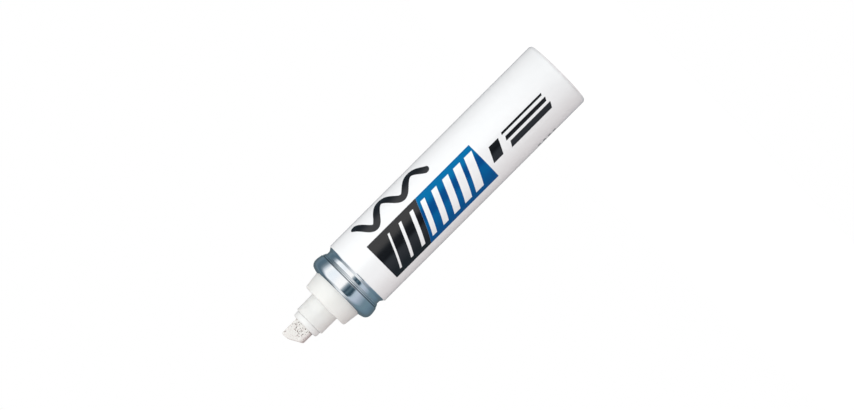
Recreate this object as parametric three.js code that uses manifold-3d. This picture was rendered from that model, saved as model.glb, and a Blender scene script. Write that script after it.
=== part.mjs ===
// A stout pigment marker with a broad chisel nib, shown without its cap. Millimetres.
// It stands on its flat base with +Z up its axis to the nib, and -Y is the side that carries the print.

import * as THREE from 'three';
import { mergeVertices } from 'three/addons/utils/BufferGeometryUtils.js';
import Module from 'manifold-3d';

// Facets
const sides = 40; // round the can, the ring and the holder
const valveSides = 20; // round the valve's small pieces
const ballRings = 10;
const arcStep = 30; // degrees of a rounded corner that one facet takes up

// Clearances
const seatGap = 0.05; // between faces that rest on each other
const pressGap = 0.05; // round a piece that is pressed into its socket
const slideGap = 0.08; // round a piece that slides
const gasketGap = 0.15; // round the gasket's bore
const mouthGap = 0.2; // between the ring's mouth and the skirt

// Can
const canDiameter = 22.2;
const canHeight = 81.7; // lacquered length, from the base to the shoulder
const canWall = 0.45;
const canFloor = 0.9;
const baseRound = 1.2;
const dishDiameter = 15; // shallow recess under the base
const dishDepth = 0.6;
const dishFlank = 0.8; // run of the recess's sloping side
const rimThickness = 0.8;

// Crimped ring
const ringSheet = 0.4;
const ringEdgeStep = 0.2; // the sheet's rear edge lies this far inside the can's radius
const grooveDepth = 1.0; // below the can's radius
const grooveRearFlank = 1.2;
const grooveFloor = 0.3;
const grooveFrontFlank = 0.75;
const grooveRound = 1.1;
const ledgeStep = 0.72; // the fine ledge behind the bead starts this far below the bead
const ledgeRise = 0.2;
const ledgeLength = 0.65;
const ledgeRound = 0.3;
const heelStep = 0.3; // the heel, where the bead begins, lies this far below its crest
const heelRun = 0.25;
const heelRound = 0.4;
const beadStandOut = 0.1; // past the can's own radius
const beadRise = 1.6; // from the heel to the crest
const crestRound = 5;
const shoulderDrop = 1.55; // from the ring's mouth down to its shoulder
const shoulderRound = 2;
const browDrop = 0.48;
const browInset = 0.85; // from the bead's radius
const browRound = 1.6;

// Gasket and holder
const gasketThickness = 0.8;
const flangeThickness = 2.1;
const rimSetback = 0.4; // from the bead's heel up to the can's rim
const skirtLength = 5.2; // from the ring's mouth
const skirtRearDiameter = 16.9;
const skirtFrontDiameter = 15.4;
const skirtRound = 0.65;
const neckLength = 6.3;
const neckWall = 0.84;
const neckRound = 0.3;
const holderTopWall = 1.6; // over the ink chamber
const plugWall = 1.2;
const socketWall = 1.15;
const socketDepth = 6;

// Nib and its collar
const nibWidth = 6.2;
const nibThickness = 4.2;
const nibLength = 24;
const nibStickOut = 6.05;
const nibBlunt = 2.1; // flat part of the tip, at the long corner
const nibSlant = 24; // degrees
const nibEdgeRound = 0.5;
const nibTurn = 7; // degrees about +Z
const collarWall = 0.45; // at the hole's corners
const collarShankLength = 7.3;
const lipLength = 1.8;
const lipStep = 0.37;
const lipRound = 0.6;

// Valve
const pressDepth = 2; // travel of the nib and the stem
const chamberMargin = 0.9; // left between the pressed nib and the valve body
const valveLength = 17;
const valveDiameter = 10.8;
const valveWall = 0.9;
const valveFrontWall = 1.4;
const valveRidge = 1.1; // ridge that stops the body at the socket's mouth
const ridgeThickness = 1.2;
const windowCount = 4;
const windowWidth = 2.4;
const windowHeight = 5;
const rodDiameter = 2.6;
const inkGap = 0.6; // round the rod, through the seal
const sealThickness = 1.2;
const poppetDiameter = 6.8;
const poppetThickness = 1.6;
const tailDiameter = 2.8;
const tailOverhang = 0.4; // past the valve's cap
const capFlange = 1;
const capPlug = 2;
const wireDiameter = 0.7;
const springDiameter = 6.4; // outside the wire
const springCoils = 6;
const coilSteps = 8;
const wireSides = 5;

// Mixing balls
const ballDiameter = 8;
const ballGap = 0.6; // between the two
const ballSeatGap = 0.1; // to the floor

// Radii, from the axis outwards
const canRadius = canDiameter / 2;
const canBore = canRadius - canWall;
const ringEdgeRadius = canRadius - ringEdgeStep;
const grooveRadius = canRadius - grooveDepth;
const beadRadius = canRadius + beadStandOut;
const ledgeRadius = beadRadius - ledgeStep;
const heelRadius = beadRadius - heelStep;
const browRadius = beadRadius - browInset;
const neckRadius = grooveRadius - ringSheet - pressGap;
const neckBore = neckRadius - canWall;
const rimRadius = heelRadius - ringSheet - pressGap;
const flangeRadius = beadRadius - ringSheet - pressGap;
const plugRadius = neckBore - pressGap;
const skirtRearRadius = skirtRearDiameter / 2;
const skirtFrontRadius = skirtFrontDiameter / 2;
const ringMouthRadius = skirtRearRadius + mouthGap;
const nibHoleRound = nibEdgeRound + slideGap;
const nibCornerReach =
  Math.hypot(nibWidth / 2 - nibEdgeRound, nibThickness / 2 - nibEdgeRound) + nibHoleRound;
const collarShankRadius = nibCornerReach + collarWall;
const neckTubeBore = collarShankRadius + pressGap;
const neckTubeRadius = neckTubeBore + neckWall;
const lipRadius = collarShankRadius + lipStep;
const valveRadius = valveDiameter / 2;
const valveBore = valveRadius - valveWall;
const socketRadius = valveRadius + pressGap;
const rodRadius = rodDiameter / 2;
const rodHole = rodRadius + inkGap;
const tailRadius = tailDiameter / 2;
const poppetRadius = poppetDiameter / 2;
const coilRadius = (springDiameter - wireDiameter) / 2;
const ballRadius = ballDiameter / 2;

// Heights up the outside
const ringBottom = canHeight + seatGap;
const grooveStart = ringBottom + ringSheet / 2; // past a straight rear edge that leaves room for the bend
const grooveFloorStart = grooveStart + grooveRearFlank;
const grooveFloorEnd = grooveFloorStart + grooveFloor;
const ledgeStart = grooveFloorEnd + grooveFrontFlank;
const ledgeEnd = ledgeStart + ledgeLength;
const heelHeight = ledgeEnd + heelRun;
const crestHeight = heelHeight + beadRise;
const rimBottom = heelHeight + rimSetback;
const rimTop = rimBottom + rimThickness;
const gasketBottom = rimTop + seatGap;
const gasketTop = gasketBottom + gasketThickness;
const flangeBottom = gasketTop + seatGap;
const flangeTop = flangeBottom + flangeThickness;
const ringTop = flangeTop + seatGap + ringSheet;
const shoulderHeight = ringTop - shoulderDrop;
const browHeight = ringTop - browDrop;
const skirtTop = ringTop + skirtLength;
const neckTop = skirtTop + neckLength;
const lipBottom = neckTop + seatGap;
const lipTop = lipBottom + lipLength;
const nibTip = lipTop + nibStickOut;

// Heights down the inside
const nibRear = nibTip - nibLength;
const valveTop = nibRear - pressDepth - chamberMargin;
const socketTop = valveTop + seatGap;
const holderRear = valveTop - socketDepth;
const chamberTop = skirtTop - holderTopWall;
const sealTop = valveTop - valveFrontWall - seatGap;
const sealBottom = sealTop - sealThickness;
const poppetTop = sealBottom - seatGap;
const poppetBottom = poppetTop - poppetThickness;
const ridgeTop = holderRear - seatGap;
const ridgeBottom = ridgeTop - ridgeThickness;
const valveRear = valveTop - valveLength;
const capTop = valveRear + capPlug;
const capFlangeTop = valveRear - seatGap;
const capBottom = capFlangeTop - capFlange;
const tailEnd = capBottom - tailOverhang;
const innerFloor = dishDepth + canFloor;

const wasm = await Module();
wasm.setup();

// Corners are [radius or width, height, rounding]. The rounding is an arc, no larger than its sides allow.
function rounded(corners, closed) {
  const points = [];
  corners.forEach(([x, y, rounding = 0], i) => {
    const corner = new THREE.Vector2(x, y);
    const before = corners.at(i - 1);
    const after = corners[(i + 1) % corners.length];
    const atEnd = !closed && (i === 0 || i === corners.length - 1);
    if (!rounding || atEnd) {
      points.push(corner);
      return;
    }
    const back = new THREE.Vector2(before[0], before[1]).sub(corner);
    const ahead = new THREE.Vector2(after[0], after[1]).sub(corner);
    const room = 0.48 * Math.min(back.length(), ahead.length());
    back.normalize();
    ahead.normalize();
    const halfAngle = Math.acos(THREE.MathUtils.clamp(back.dot(ahead), -1, 1)) / 2;
    const reach = Math.min(rounding / Math.tan(halfAngle), room);
    const radius = reach * Math.tan(halfAngle);
    const centre = back.clone().add(ahead).setLength(radius / Math.sin(halfAngle)).add(corner);
    const from = corner.clone().addScaledVector(back, reach).sub(centre);
    const to = corner.clone().addScaledVector(ahead, reach).sub(centre);
    const turn = Math.atan2(from.cross(to), from.dot(to));
    const steps = Math.max(1, Math.ceil(Math.abs(turn) / THREE.MathUtils.degToRad(arcStep)));
    for (let k = 0; k <= steps; k += 1) {
      points.push(from.clone().rotateAround(new THREE.Vector2(), (turn * k) / steps).add(centre));
    }
  });
  return points;
}

// A path moved to its left by a distance, its roundings kept on the same centres.
function inset(path, distance) {
  const heading = (a, b) => new THREE.Vector2(b[0] - a[0], b[1] - a[1]).normalize();
  const leftOf = (direction) => new THREE.Vector2(-direction.y, direction.x);
  return path.map((corner, i) => {
    const arriving = heading(path[Math.max(i - 1, 0)], path[Math.max(i, 1)]);
    const leaving = heading(path[Math.min(i, path.length - 2)], path[Math.min(i + 1, path.length - 1)]);
    const mitre = leftOf(arriving).add(leftOf(leaving));
    const shift = mitre.multiplyScalar((2 * distance) / mitre.lengthSq());
    const side = Math.sign(arriving.cross(leaving));
    const rounding = corner[2] ? Math.max(corner[2] - side * distance, 0.05) : 0;
    return [corner[0] + shift.x, corner[1] + shift.y, rounding];
  });
}

// A piece turned about Z. Its corners run anticlockwise, and either close on themselves or start and end
// on the axis.
function turned(corners, facets) {
  const onAxis = corners[0][0] === 0;
  const points = rounded(corners, !onAxis);
  if (!onAxis) {
    points.push(points[0].clone());
  }
  return new THREE.LatheGeometry(points, facets).rotateX(Math.PI / 2);
}

function solidFrom(geometry) {
  const bare = geometry.clone();
  bare.deleteAttribute('normal');
  bare.deleteAttribute('uv');
  const merged = mergeVertices(bare, 1e-4);
  const vertProperties = merged.getAttribute('position').array;
  return new wasm.Manifold(new wasm.Mesh({ numProp: 3, vertProperties, triVerts: merged.index.array }));
}

function geometryFrom(solid) {
  const mesh = solid.getMesh();
  const indexed = new THREE.BufferGeometry();
  indexed.setAttribute('position', new THREE.BufferAttribute(mesh.vertProperties, 3));
  indexed.setIndex(new THREE.BufferAttribute(mesh.triVerts, 1));
  const geometry = indexed.toNonIndexed();
  geometry.computeVertexNormals();
  return geometry;
}

function barrelCan() {
  const dishRadius = dishDiameter / 2;
  return turned(
    [
      [0, dishDepth],
      [dishRadius, dishDepth, 0.6],
      [dishRadius + dishFlank, 0, 0.6],
      [canRadius, 0, baseRound],
      [canRadius, canHeight],
      [neckRadius, canHeight],
      [neckRadius, rimBottom],
      [rimRadius, rimBottom, rimThickness / 3],
      [rimRadius, rimTop, rimThickness / 3],
      [neckBore, rimTop],
      [neckBore, canHeight - canWall],
      [canBore, canHeight - canWall - (canBore - neckBore) / 2],
      [canBore, canFloor, baseRound],
      [dishRadius + dishFlank, canFloor],
      [dishRadius, innerFloor],
      [0, innerFloor],
    ],
    sides,
  );
}

// The bead's outside from its crest to the ring's mouth. The holder's flange has the same form under it.
const ringFront = [
  [beadRadius, crestHeight, crestRound],
  [beadRadius, shoulderHeight, shoulderRound],
  [browRadius, browHeight, browRound],
  [ringMouthRadius, ringTop],
];

function crimpRing() {
  const outside = [
    [ringEdgeRadius, ringBottom],
    [ringEdgeRadius, grooveStart, grooveRound],
    [grooveRadius, grooveFloorStart, grooveRound],
    [grooveRadius, grooveFloorEnd, grooveRound],
    [ledgeRadius, ledgeStart, ledgeRound],
    [ledgeRadius + ledgeRise, ledgeEnd, ledgeRound],
    [heelRadius, heelHeight, heelRound],
    ...ringFront,
  ];
  return turned([...outside, ...inset(outside, ringSheet).reverse()], sides);
}

function crimpGasket() {
  return turned(
    [
      [plugRadius + gasketGap, gasketBottom],
      [rimRadius, gasketBottom],
      [rimRadius, gasketTop],
      [plugRadius + gasketGap, gasketTop],
    ],
    sides,
  );
}

function nibHolder() {
  const plugBore = plugRadius - plugWall;
  const socketTube = socketRadius + socketWall;
  const pocketTop = flangeTop - plugWall;
  const chamberRadius = socketRadius - pressGap - valveWall / 2;
  const [, flangeShoulder, flangeBrow] = inset(ringFront, ringSheet + seatGap);
  return turned(
    [
      [plugRadius, holderRear, 0.4],
      [plugRadius, flangeBottom],
      [flangeRadius, flangeBottom],
      flangeShoulder,
      flangeBrow,
      [skirtRearRadius, flangeTop],
      [skirtFrontRadius, skirtTop, skirtRound],
      [neckTubeRadius, skirtTop, neckRound],
      [neckTubeRadius, neckTop, neckRound],
      [neckTubeBore, neckTop],
      [neckTubeBore, chamberTop],
      [chamberRadius, chamberTop - (chamberRadius - neckTubeBore)],
      [chamberRadius, socketTop],
      [socketRadius, socketTop],
      [socketRadius, holderRear],
      [socketTube, holderRear],
      [socketTube, pocketTop],
      [plugBore, pocketTop],
      [plugBore, holderRear],
    ],
    sides,
  );
}

// A rectangle with its corners rounded, about the origin.
function roundedRectangle(width, height, rounding) {
  const halfWidth = width / 2;
  const halfHeight = height / 2;
  const corners = [
    [-halfWidth, -halfHeight, rounding],
    [halfWidth, -halfHeight, rounding],
    [halfWidth, halfHeight, rounding],
    [-halfWidth, halfHeight, rounding],
  ];
  return new THREE.Shape(rounded(corners, true));
}

function nibCollar() {
  const shankBottom = lipBottom - collarShankLength;
  const body = turned(
    [
      [0, shankBottom],
      [collarShankRadius, shankBottom, 0.2],
      [collarShankRadius, lipBottom],
      [lipRadius, lipBottom],
      [lipRadius, lipTop, lipRound],
      [0, lipTop],
    ],
    sides,
  );
  const outline = roundedRectangle(nibWidth + 2 * slideGap, nibThickness + 2 * slideGap, nibHoleRound);
  const depth = lipTop - shankBottom + 2;
  const hole = new THREE.ExtrudeGeometry(outline, { depth, bevelEnabled: false });
  hole.translate(0, 0, shankBottom - 1);
  hole.rotateZ(THREE.MathUtils.degToRad(nibTurn));
  return geometryFrom(solidFrom(body).subtract(solidFrom(hole)));
}

// The nib's outline is drawn flat, width by height, and given its thickness with all edges rounded.
function chiselNib() {
  const halfWidth = nibWidth / 2;
  const drop = (nibWidth - nibBlunt) * Math.tan(THREE.MathUtils.degToRad(nibSlant));
  const cornerRound = nibEdgeRound + 0.15;
  const outline = [
    [-halfWidth, nibRear, cornerRound],
    [halfWidth, nibRear, cornerRound],
    [halfWidth, nibTip, cornerRound],
    [halfWidth - nibBlunt, nibTip, 3 * cornerRound],
    [-halfWidth, nibTip - drop, cornerRound],
  ];
  const depth = nibThickness - 2 * nibEdgeRound;
  const bar = new THREE.ExtrudeGeometry(new THREE.Shape(rounded(outline, true)), {
    depth,
    bevelEnabled: true,
    bevelThickness: nibEdgeRound,
    bevelSize: nibEdgeRound,
    bevelOffset: -nibEdgeRound,
    bevelSegments: 3,
  });
  bar.translate(0, 0, -depth / 2);
  bar.rotateX(Math.PI / 2);
  return bar.rotateZ(THREE.MathUtils.degToRad(nibTurn));
}

function valveBody() {
  const tube = turned(
    [
      [valveRadius, valveRear, 0.2],
      [valveRadius, ridgeBottom],
      [valveRadius + valveRidge, ridgeBottom],
      [valveRadius + valveRidge, ridgeTop],
      [valveRadius, ridgeTop],
      [valveRadius, valveTop, 0.3],
      [rodHole, valveTop],
      [rodHole, valveTop - valveFrontWall],
      [valveBore, valveTop - valveFrontWall],
      [valveBore, valveRear],
    ],
    valveSides,
  );
  const middle = (ridgeBottom + capTop) / 2;
  let solid = solidFrom(tube);
  for (let i = 0; i < windowCount; i += 1) {
    const cutter = new THREE.BoxGeometry(2 * valveWall, windowWidth, windowHeight);
    cutter.translate(valveRadius - valveWall / 2, 0, middle);
    cutter.rotateZ((2 * Math.PI * (i + 0.5)) / windowCount);
    solid = solid.subtract(solidFrom(cutter));
  }
  return geometryFrom(solid);
}

function valveSeal() {
  const outer = valveBore - pressGap;
  return turned(
    [
      [rodHole, sealBottom, sealThickness / 4],
      [outer, sealBottom],
      [outer, sealTop],
      [rodHole, sealTop],
    ],
    valveSides,
  );
}

function valveStem() {
  const rodTop = nibRear - seatGap;
  return turned(
    [
      [0, tailEnd],
      [tailRadius, tailEnd, 0.4],
      [tailRadius, poppetBottom],
      [poppetRadius, poppetBottom, 0.2],
      [poppetRadius, poppetTop, 0.4],
      [rodRadius, poppetTop, 0.3],
      [rodRadius, rodTop, 0.4],
      [0, rodTop],
    ],
    valveSides,
  );
}

function valveCap() {
  const plug = valveBore - pressGap;
  const guide = tailRadius + slideGap;
  return turned(
    [
      [guide, capBottom],
      [valveRadius, capBottom, 0.3],
      [valveRadius, capFlangeTop],
      [plug, capFlangeTop],
      [plug, capTop, 0.3],
      [guide, capTop],
    ],
    valveSides,
  );
}

// The spring's centre line climbs steadily, with half a wire's thickness left clear at each end.
class Helix extends THREE.Curve {
  getPoint(t, target = new THREE.Vector3()) {
    const bottom = capTop + seatGap + wireDiameter;
    const top = poppetBottom - seatGap - wireDiameter;
    const angle = 2 * Math.PI * springCoils * t;
    return target.set(
      coilRadius * Math.cos(angle),
      coilRadius * Math.sin(angle),
      bottom + (top - bottom) * t,
    );
  }
}

function valveSpring() {
  const wire = new THREE.Shape();
  for (let k = 0; k < wireSides; k += 1) {
    const angle = (2 * Math.PI * k) / wireSides;
    const x = (wireDiameter / 2) * Math.cos(angle);
    const y = (wireDiameter / 2) * Math.sin(angle);
    if (k === 0) {
      wire.moveTo(x, y);
    } else {
      wire.lineTo(x, y);
    }
  }
  wire.closePath();
  return new THREE.ExtrudeGeometry(wire, { steps: springCoils * coilSteps, extrudePath: new Helix() });
}

function mixingBall(side) {
  const ball = new THREE.SphereGeometry(ballRadius, 2 * ballRings, ballRings);
  ball.rotateX(Math.PI / 2);
  return ball.translate(side * (ballRadius + ballGap / 2), 0, innerFloor + ballSeatGap + ballRadius);
}

const lacquer = new THREE.MeshStandardMaterial({ color: 0xf3f3f5, roughness: 0.28, metalness: 0 });
const bareAluminium = new THREE.MeshStandardMaterial({ color: 0xb4c2ca, roughness: 0.18, metalness: 1 });
const whitePlastic = new THREE.MeshStandardMaterial({ color: 0xf1efec, roughness: 0.42, metalness: 0 });
const paleSleeve = new THREE.MeshStandardMaterial({ color: 0xe6e7e3, roughness: 0.35, metalness: 0 });
const felt = new THREE.MeshStandardMaterial({ color: 0xe9e6e1, roughness: 0.95, metalness: 0 });
const rubber = new THREE.MeshStandardMaterial({ color: 0x2a2b2d, roughness: 0.7, metalness: 0 });
const valvePlastic = new THREE.MeshStandardMaterial({ color: 0xdfe2df, roughness: 0.4, metalness: 0 });
const springSteel = new THREE.MeshStandardMaterial({ color: 0x9a9da1, roughness: 0.3, metalness: 1 });
const polishedSteel = new THREE.MeshStandardMaterial({ color: 0xc4c7ca, roughness: 0.08, metalness: 1 });

const marker = new THREE.Group();

function add(name, geometry, material) {
  const mesh = new THREE.Mesh(geometry, material);
  mesh.name = name;
  marker.add(mesh);
}

add('barrel_can', barrelCan(), lacquer);
add('crimp_ring', crimpRing(), bareAluminium);
add('crimp_gasket', crimpGasket(), rubber);
add('nib_holder', nibHolder(), whitePlastic);
add('nib_collar', nibCollar(), paleSleeve);
add('chisel_nib', chiselNib(), felt);
add('valve_body', valveBody(), valvePlastic);
add('valve_seal', valveSeal(), rubber);
add('valve_stem', valveStem(), valvePlastic);
add('valve_spring', valveSpring(), springSteel);
add('valve_cap', valveCap(), valvePlastic);
add('mixing_ball_1', mixingBall(1), polishedSteel);
add('mixing_ball_2', mixingBall(-1), polishedSteel);

export default marker;
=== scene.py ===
# A stout white pigment marker, its cap off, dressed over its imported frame.
# It stands on its base with +Z up its axis to the nib, and -Y is the printed side.
# Sizes named in this script are in millimetres; MM turns them into the metres that Blender gets.

import math

import bmesh
import bpy
from mathutils import Matrix, Vector, noise


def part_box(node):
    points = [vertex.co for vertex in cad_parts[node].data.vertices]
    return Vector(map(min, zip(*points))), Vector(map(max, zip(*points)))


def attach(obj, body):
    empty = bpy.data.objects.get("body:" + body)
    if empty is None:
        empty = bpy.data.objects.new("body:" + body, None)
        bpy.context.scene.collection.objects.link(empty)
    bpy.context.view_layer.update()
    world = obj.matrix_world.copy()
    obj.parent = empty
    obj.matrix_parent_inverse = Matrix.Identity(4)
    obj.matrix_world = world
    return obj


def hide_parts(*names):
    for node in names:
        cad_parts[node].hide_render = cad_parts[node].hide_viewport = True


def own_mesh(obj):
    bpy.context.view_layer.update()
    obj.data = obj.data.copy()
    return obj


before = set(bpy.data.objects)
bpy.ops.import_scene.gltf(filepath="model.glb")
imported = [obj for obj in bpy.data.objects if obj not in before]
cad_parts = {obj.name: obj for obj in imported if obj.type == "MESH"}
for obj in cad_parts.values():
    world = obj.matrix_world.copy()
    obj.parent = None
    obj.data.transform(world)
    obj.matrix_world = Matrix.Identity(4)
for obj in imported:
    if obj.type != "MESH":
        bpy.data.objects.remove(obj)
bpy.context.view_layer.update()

MM = 0.001
Z = Vector((0, 0, 1))

# What the frame says of the pieces' heights and widths
_, can_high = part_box("barrel_can")
ring_low, ring_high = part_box("crimp_ring")
holder_low, holder_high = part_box("nib_holder")
collar_low, collar_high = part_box("nib_collar")
nib_low, nib_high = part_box("chisel_nib")
valve_low, valve_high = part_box("valve_body")

# Clearances
SEAT_GAP = 0.05
PRESS_GAP = 0.05
SLIDE_GAP = 0.08
MOUTH_GAP = 0.2

# Can
CAN_RADIUS = can_high.x / MM
CAN_HEIGHT = 81.7  # of its full width, up to the ring
CAN_WALL = 0.45
CAN_FLOOR = 0.9
BASE_ROUND = 1.2
DISH_RADIUS = 7.5
DISH_DEPTH = 0.6
DISH_FLANK = 0.8
INNER_FLOOR = DISH_DEPTH + CAN_FLOOR
RIM_THICKNESS = 0.8

# Crimped ring, up its outside
RING_SHEET = 0.4
RING_TOP = ring_high.z / MM
GROOVE_START = ring_low.z / MM + 0.12
GROOVE_FLOOR = ring_low.z / MM + 1.0
LEDGE_BOTTOM = ring_low.z / MM + 2.45
FINE_SCORE = LEDGE_BOTTOM + 0.23
HEEL_SCORE = LEDGE_BOTTOM + 0.77
HEEL_HEIGHT = LEDGE_BOTTOM + 0.9
CREST_HEIGHT = HEEL_HEIGHT + 1.6
RING_EDGE_RADIUS = CAN_RADIUS - 0.33
GROOVE_RADIUS = CAN_RADIUS - 1
BEAD_RADIUS = ring_high.x / MM
LEDGE_RADIUS = BEAD_RADIUS - 0.72
HEEL_RADIUS = BEAD_RADIUS - 0.3

# Inside the ring
NECK_RADIUS = GROOVE_RADIUS - RING_SHEET - PRESS_GAP
NECK_BORE = NECK_RADIUS - CAN_WALL
RIM_RADIUS = HEEL_RADIUS - RING_SHEET - PRESS_GAP
RIM_BOTTOM = HEEL_HEIGHT + 0.4
RIM_TOP = RIM_BOTTOM + RIM_THICKNESS
GASKET_BOTTOM = RIM_TOP + SEAT_GAP
GASKET_TOP = GASKET_BOTTOM + 0.8

# Holder
PLUG_RADIUS = NECK_BORE - PRESS_GAP
PLUG_WALL = 1.2
SOCKET_WALL = 1.15
SKIRT_TOP_WALL = 1.6
FLANGE_RADIUS = BEAD_RADIUS - RING_SHEET - PRESS_GAP
FLANGE_BOTTOM = GASKET_TOP + SEAT_GAP
FLANGE_TOP = RING_TOP - RING_SHEET - SEAT_GAP
SKIRT_REAR_RADIUS = 8.45
SKIRT_FRONT_RADIUS = 7.7
SKIRT_TOP = RING_TOP + 5.2
NECK_TOP = holder_high.z / MM
HOLDER_REAR = holder_low.z / MM

# Nib and collar
NIB_WIDTH = 6.2
NIB_THICKNESS = 4.2
NIB_BLUNT = 2.1  # how much of the width ends square
NIB_SLANT = math.radians(29)
NIB_CORNER = 0.65
NIB_SHOULDER = 1.95  # rounding between the square end and the slant
NIB_EDGE = 0.5
NIB_TURN = math.radians(7)
NIB_TIP = nib_high.z / MM
NIB_REAR = nib_low.z / MM
NIB_HOLE_ROUND = NIB_EDGE + SLIDE_GAP
NIB_HOLE_REACH = NIB_HOLE_ROUND + math.hypot(NIB_WIDTH / 2 - NIB_EDGE, NIB_THICKNESS / 2 - NIB_EDGE)
NIB_HOLE_EDGE = 0.12
COLLAR_RADIUS = NIB_HOLE_REACH + 0.45
COLLAR_CHAMFER = 0.2
NECK_TUBE_BORE = COLLAR_RADIUS + PRESS_GAP
NECK_TUBE_RADIUS = NECK_TUBE_BORE + 0.84
LIP_RADIUS = COLLAR_RADIUS + 0.37
LIP_ROUND = 0.6
LIP_BOTTOM = NECK_TOP + SEAT_GAP
LIP_TOP = collar_high.z / MM
COLLAR_REAR = collar_low.z / MM

# Valve
VALVE_RADIUS = 5.4
VALVE_BORE = 4.5
VALVE_REAR, VALVE_TOP = valve_low.z / MM, valve_high.z / MM
VALVE_CEILING = VALVE_TOP - 1.4
RIDGE_RADIUS = valve_high.x / MM
RIDGE_TOP = HOLDER_REAR - SEAT_GAP
RIDGE_BOTTOM = RIDGE_TOP - 1.2
SOCKET_RADIUS = VALVE_RADIUS + PRESS_GAP
SOCKET_TOP = VALVE_TOP + SEAT_GAP
ROD_RADIUS = 1.3
ROD_HOLE = 1.9
ROD_TOP = NIB_REAR - SEAT_GAP
SEAL_TOP = VALVE_CEILING - SEAT_GAP
SEAL_BOTTOM = SEAL_TOP - 1.2
POPPET_RADIUS = 3.4
POPPET_TOP = SEAL_BOTTOM - SEAT_GAP
POPPET_BOTTOM = POPPET_TOP - 1.6
TAIL_RADIUS = 1.4
CAP_FLANGE_TOP = VALVE_REAR - SEAT_GAP
CAP_BOTTOM = CAP_FLANGE_TOP - 1
CAP_TOP = VALVE_REAR + 2
TAIL_END = CAP_BOTTOM - 0.4
PRESS_DEPTH = 2
WINDOWS = 4
WINDOW_HEIGHT = 5
WINDOW_BOTTOM = (RIDGE_BOTTOM + CAP_TOP - WINDOW_HEIGHT) / 2
WINDOW_TOP = WINDOW_BOTTOM + WINDOW_HEIGHT
WIRE_RADIUS = 0.35
COIL_RADIUS = 2.85
OPEN_TURNS = 5
CLOSED_PITCH = 2 * WIRE_RADIUS + 0.06
BALL_RADIUS = 4
BALL_PLACE = BALL_RADIUS + 0.3
BALL_HEIGHT = INNER_FLOOR + 0.1 + BALL_RADIUS


def placed(name, data):
    """A new object in the scene."""
    thing = bpy.data.objects.new(name, data)
    bpy.context.scene.collection.objects.link(thing)
    return thing


# Camera

CAMERA_DISTANCE = 1220
CAMERA_WIDTH_ANGLE = math.radians(11.48)
CAMERA_ELEVATION = math.radians(1.23)
CAMERA_CLIP = (10, 20000)
AIM = Vector((-0.24, 0, 53.65))  # the point in the middle of the picture
TIP_DIRECTION = math.radians(225)  # where the nib points in the picture, from its right-hand side
SENSOR = 36


def photo_camera():
    """The camera looks at the printed side along +Y, rolled so that the nib points down and to the left."""
    camera = placed("photo_camera", bpy.data.cameras.new("photo_camera"))
    camera.data.sensor_width = SENSOR
    camera.data.lens = SENSOR / 2 / math.tan(CAMERA_WIDTH_ANGLE / 2)
    camera.data.clip_start, camera.data.clip_end = (reach * MM for reach in CAMERA_CLIP)
    back = Vector((0, -math.cos(CAMERA_ELEVATION), math.sin(CAMERA_ELEVATION)))
    tipward = (Z - Z.dot(back) * back).normalized()
    sideways = back.cross(tipward)
    right = math.cos(TIP_DIRECTION) * tipward + math.sin(TIP_DIRECTION) * -sideways
    up = back.cross(right)
    turn = Matrix((right, up, back)).transposed().to_4x4()
    camera.matrix_world = Matrix.Translation((AIM + CAMERA_DISTANCE * back) * MM) @ turn
    bpy.context.scene.camera = camera


# Finishes

class Signal:
    """A shader socket that joins in sums: each operator adds a Math node."""

    def __init__(self, finish, socket):
        self.finish = finish
        self.socket = socket

    def math(self, operation, *others, first=None):
        terms = [first, self] if first is not None else [self, *others]
        return self.finish.node("Math", {"operation": operation}, dict(enumerate(terms)))

    def __add__(self, other):
        return self.math("ADD", other)

    __radd__ = __add__

    def __sub__(self, other):
        return self.math("SUBTRACT", other)

    def __rsub__(self, other):
        return self.math("SUBTRACT", first=other)

    def __mul__(self, other):
        return self.math("MULTIPLY", other)

    __rmul__ = __mul__

    def __truediv__(self, other):
        return self.math("DIVIDE", other)

    def __neg__(self):
        return self * -1

    def __abs__(self):
        return self.math("ABSOLUTE")

    def at_least(self, other):
        return self.math("MAXIMUM", other)

    def at_most(self, other):
        return self.math("MINIMUM", other)

    def held(self):
        """Held between 0 and 1."""
        return self.at_least(0).at_most(1)

    def distance(self, other):
        """How far off a point is that lies this far one way and the other's value square to it."""
        return (self * self + other * other).math("SQRT")

    def angle_over(self, ahead):
        """The angle in radians of a line that goes this far aside over the value of ahead."""
        return self.math("ARCTAN2", ahead)


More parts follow.
